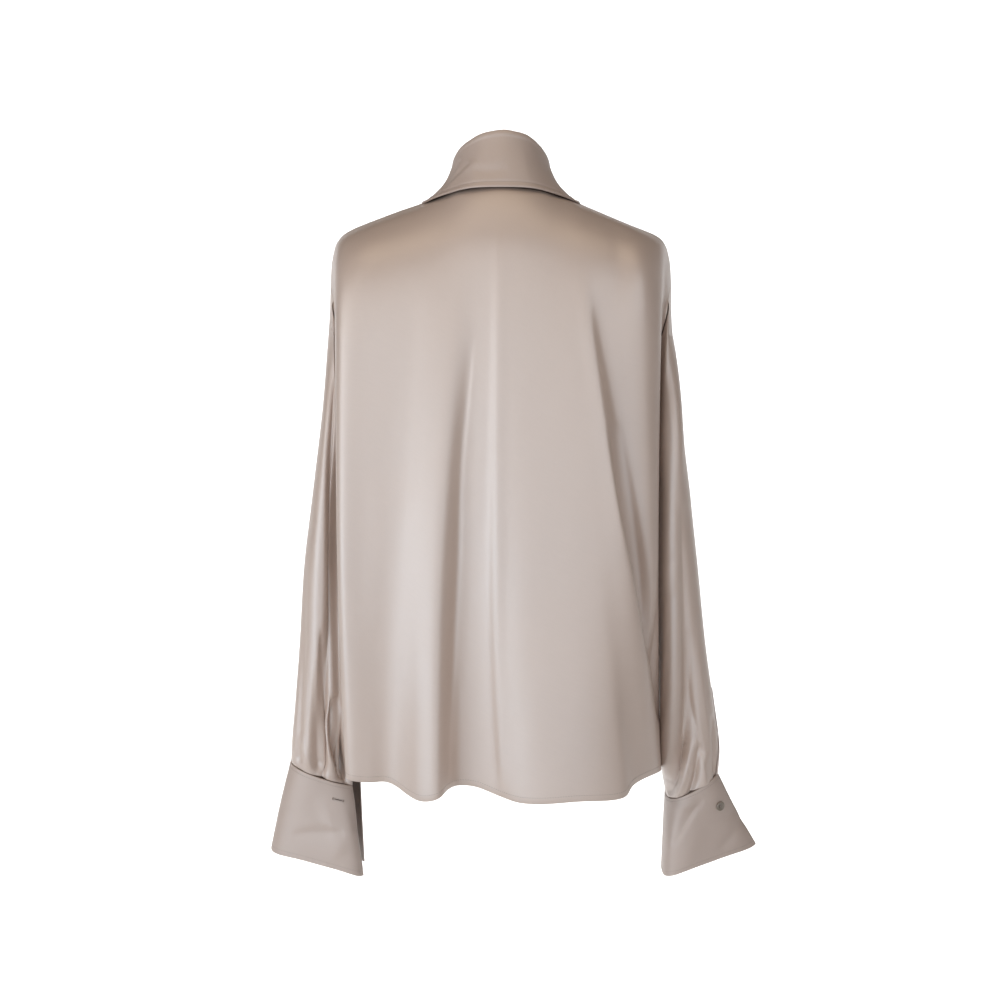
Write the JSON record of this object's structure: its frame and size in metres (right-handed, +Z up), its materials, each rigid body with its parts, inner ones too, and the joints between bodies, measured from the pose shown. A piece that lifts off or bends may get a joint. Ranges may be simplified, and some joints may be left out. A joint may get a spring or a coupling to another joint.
{
  "type": "long-sleeved blouse",
  "caption": "Loose satin blouse in its worn, hollow form: dropped long sleeves, deep flared cuffs worn unbuttoned, a tall turned-down collar and small front buttons.",
  "frame": {"origin": "midway between the shoulders at the height of the shoulder line beside the neck, where the wearer's shoulders carry the blouse", "axes": "+X towards the wearer's right, +Y towards the wearer's front, +Z up along the wearer's body"},
  "size_m": [0.5539, 0.3092, 0.8303],
  "materials": {
    "satin": "smooth satin, soft sheen",
    "firm_satin": "smooth satin over a stiffening layer",
    "button": "polished, slightly pearly"
  },
  "bodies": {
    "root": {"back": "satin", "front_left": "satin", "front_right": "satin", "sleeve_left": "satin", "sleeve_right": "satin", "binding_left": "satin", "binding_right": "satin", "cuff_left": "firm_satin", "cuff_right": "firm_satin", "collar_stand": "firm_satin", "collar_leaf": "firm_satin", "button_cuff_left": "button", "button_cuff_right": "button", "button_collar": "button", "button_front_1": "button", "button_front_2": "button", "button_front_3": "button", "button_front_4": "button", "button_front_5": "button", "button_front_6": "button", "button_front_7": "button"}
  },
  "joints": []
}
